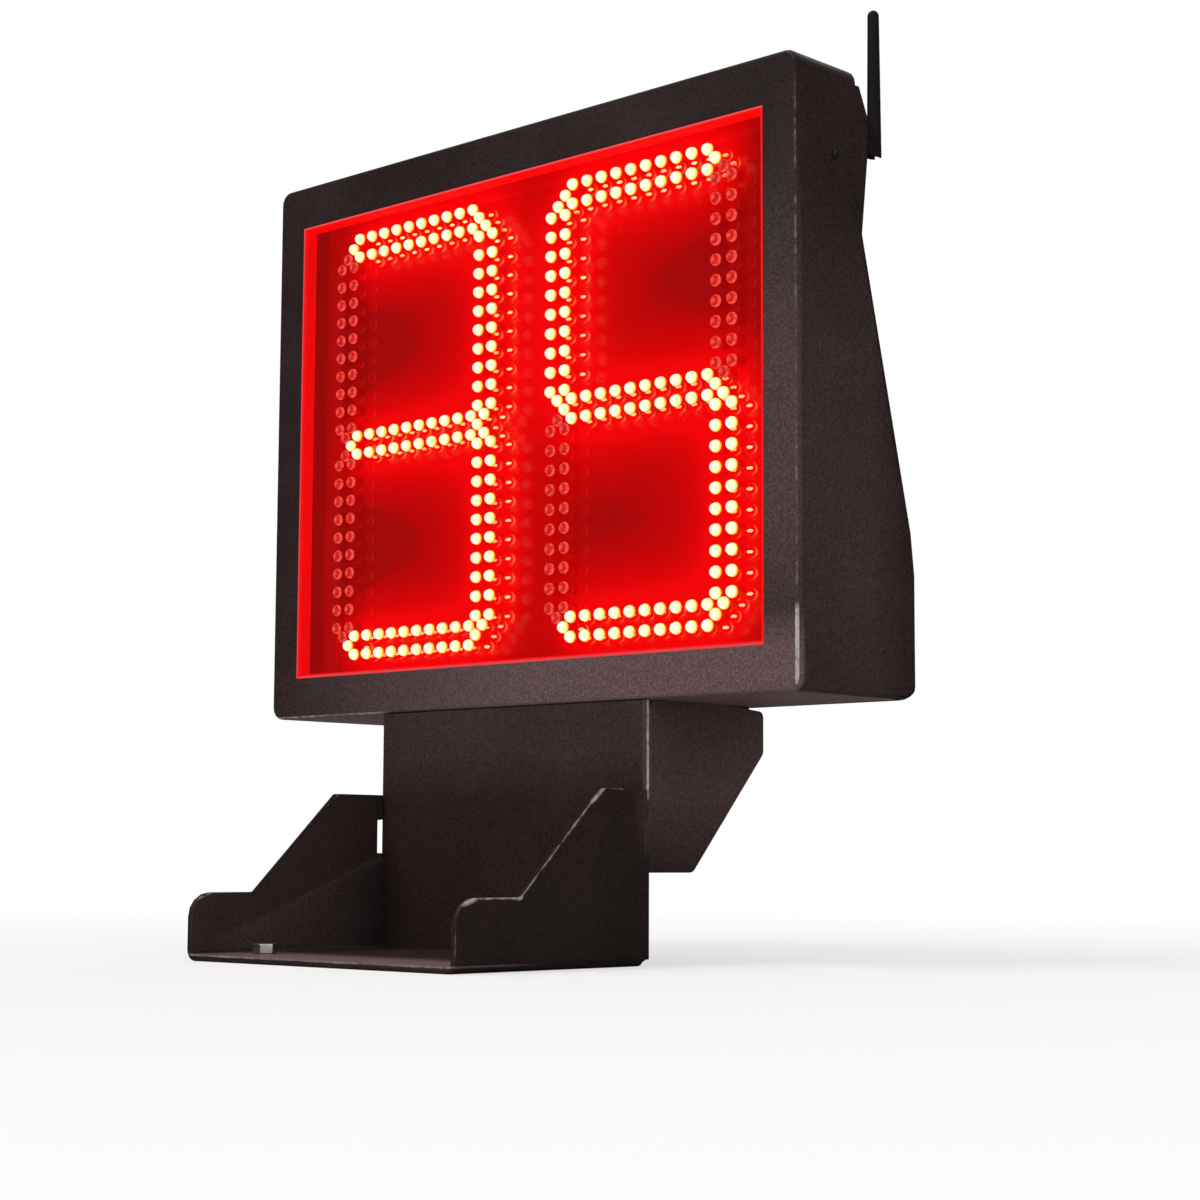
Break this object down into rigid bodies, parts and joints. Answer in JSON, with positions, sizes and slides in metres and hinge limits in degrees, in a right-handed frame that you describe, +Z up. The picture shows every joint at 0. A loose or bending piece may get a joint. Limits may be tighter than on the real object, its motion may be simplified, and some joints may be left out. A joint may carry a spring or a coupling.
{
  "type": "shot clock",
  "caption": "Red LED shot clock in a black steel housing, with a folding stub antenna, on a bent steel mounting bracket with a bolt-down base plate.",
  "frame": {"origin": "middle of the underside of the bracket's base plate", "axes": "+X to the viewer's right, +Y to the back, +Z up, so the digits face -Y"},
  "size_m": [0.4784, 0.2737, 0.6134],
  "materials": {
    "powder_coat": "fine textured powder coat, black with a warm cast",
    "zinc_plate": "bright zinc plate",
    "brass": "turned brass",
    "window_tint": "clear red-tinted acrylic, polished",
    "window_gasket": "matte foam rubber",
    "window_frame": "satin red paint",
    "led_board": "glossy solder mask with red lamps",
    "bare_sheet": "plain folded sheet",
    "circuit_board": "green solder mask",
    "ribbon": "grey flat cable",
    "horn_black": "satin black paint",
    "black_plastic": "moulded black plastic",
    "coax_jacket": "smooth black jacket"
  },
  "bodies": {
    "clock": {"mounting_bracket": "powder_coat", "front_housing": "powder_coat", "rear_cover": "powder_coat", "base_bolt_left": "zinc_plate", "base_bolt_right": "zinc_plate", "clamp_bolt_front_left": "zinc_plate", "clamp_nut_front_left": "zinc_plate", "clamp_bolt_front_right": "zinc_plate", "clamp_nut_front_right": "zinc_plate", "clamp_bolt_rear_left": "zinc_plate", "clamp_nut_rear_left": "zinc_plate", "clamp_bolt_rear_right": "zinc_plate", "clamp_nut_rear_right": "zinc_plate", "cover_screw_left_1": "zinc_plate", "cover_screw_left_2": "zinc_plate", "cover_screw_left_3": "zinc_plate", "cover_screw_left_4": "zinc_plate", "side_screw_left": "zinc_plate", "cover_screw_right_1": "zinc_plate", "cover_screw_right_2": "zinc_plate", "cover_screw_right_3": "zinc_plate", "cover_screw_right_4": "zinc_plate", "side_screw_right": "zinc_plate", "horn_strap": "zinc_plate", "antenna_jack": "brass", "antenna_jack_nut": "brass", "standoff_left_top_inner": "brass", "standoff_left_top_outer": "brass", "standoff_left_bottom_inner": "brass", "standoff_left_bottom_outer": "brass", "standoff_right_top_inner": "brass", "standoff_right_top_outer": "brass", "standoff_right_bottom_inner": "brass", "standoff_right_bottom_outer": "brass", "controller_standoff_top_left": "brass", "controller_standoff_top_right": "brass", "controller_standoff_bottom_left": "brass", "controller_standoff_bottom_right": "brass", "window_pane": "window_tint", "window_gasket": "window_gasket", "window_frame": "window_frame", "digit_board_left": "led_board", "digit_board_right": "led_board", "chassis_plate": "bare_sheet", "power_supply": "bare_sheet", "controller_board": "circuit_board", "radio_module": "circuit_board", "ribbon_cable_left": "ribbon", "ribbon_cable_right": "ribbon", "horn": "horn_black", "power_inlet": "black_plastic", "switch_housing": "black_plastic", "antenna_coax": "coax_jacket"},
    "antenna_elbow": {"antenna_elbow": "black_plastic", "antenna_hinge_pin": "zinc_plate"},
    "antenna_whip": {"antenna_whip": "black_plastic"},
    "switch_rocker": {"switch_rocker": "black_plastic"}
  },
  "joints": [
    {"name": "antenna_swivel", "type": "hinge", "parent": "clock", "child": "antenna_elbow", "pos_m": [0.227, 0.16, 0.499], "axis": [0, 1, 0], "continuous": true},
    {"name": "antenna_fold", "type": "hinge", "parent": "antenna_elbow", "child": "antenna_whip", "pos_m": [0.227, 0.16819, 0.499], "axis": [1, 0, 0], "range_deg": [-90, 0]},
    {"name": "switch_rock", "type": "hinge", "parent": "clock", "child": "switch_rocker", "pos_m": [-0.095, 0.1912, 0.214], "axis": [1, 0, 0], "range_deg": [-20, 0]}
  ]
}
